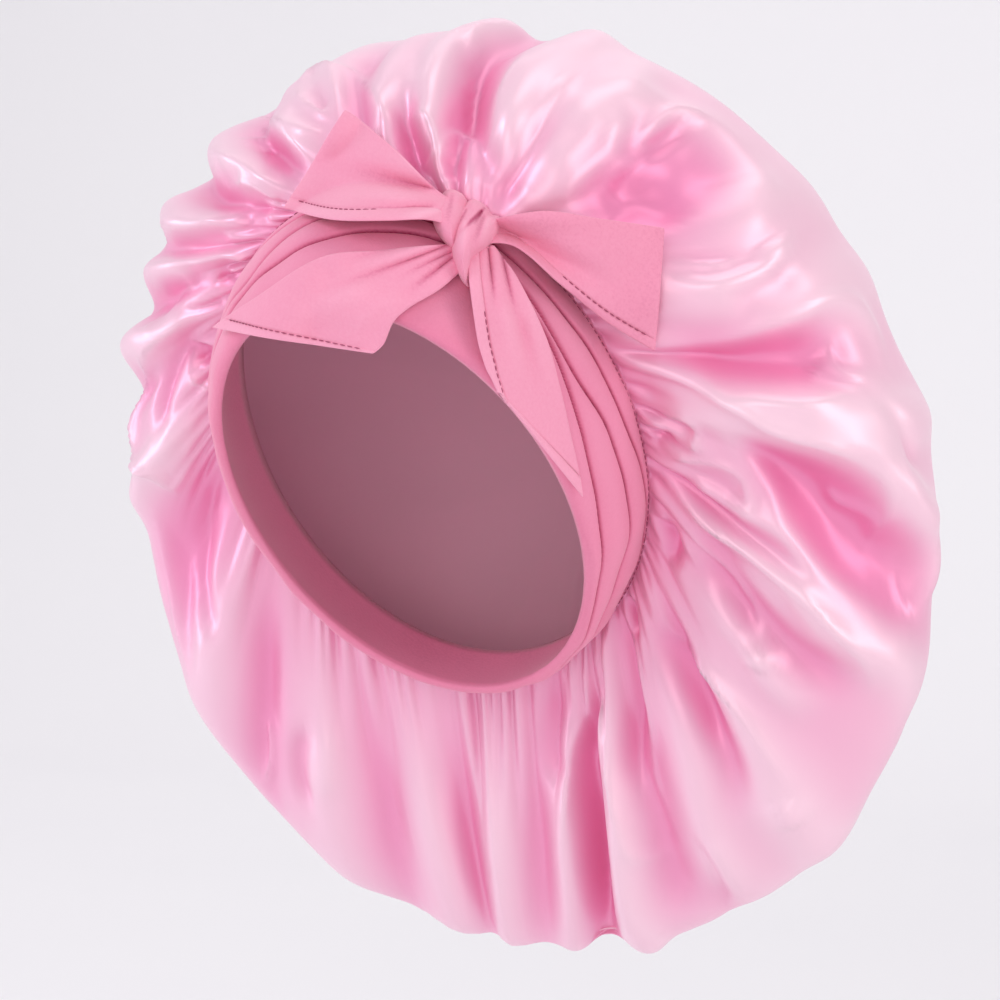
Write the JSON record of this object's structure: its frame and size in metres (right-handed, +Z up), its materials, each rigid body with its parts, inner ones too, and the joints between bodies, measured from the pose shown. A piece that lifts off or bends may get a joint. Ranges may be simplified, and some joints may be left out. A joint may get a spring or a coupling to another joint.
{
  "type": "sleep bonnet",
  "caption": "Sleep bonnet in worn form: large gathered satin crown on a wrapped jersey headband tied in a front bow with hanging ends.",
  "frame": {"origin": "centre of the face opening, where the head goes in", "axes": "+Z up, the wearer faces -Y, +X to the wearer's left"},
  "size_m": [0.347, 0.2528, 0.3841],
  "materials": {
    "satin": "glossy pale pink polyester satin",
    "jersey": "matte pink stretch jersey"
  },
  "bodies": {
    "root": {"crown": "satin", "headband": "jersey", "tie_knot": "jersey", "bow_loop_left": "jersey", "bow_loop_right": "jersey", "tie_tail_left": "jersey", "tie_tail_right": "jersey"}
  },
  "joints": []
}
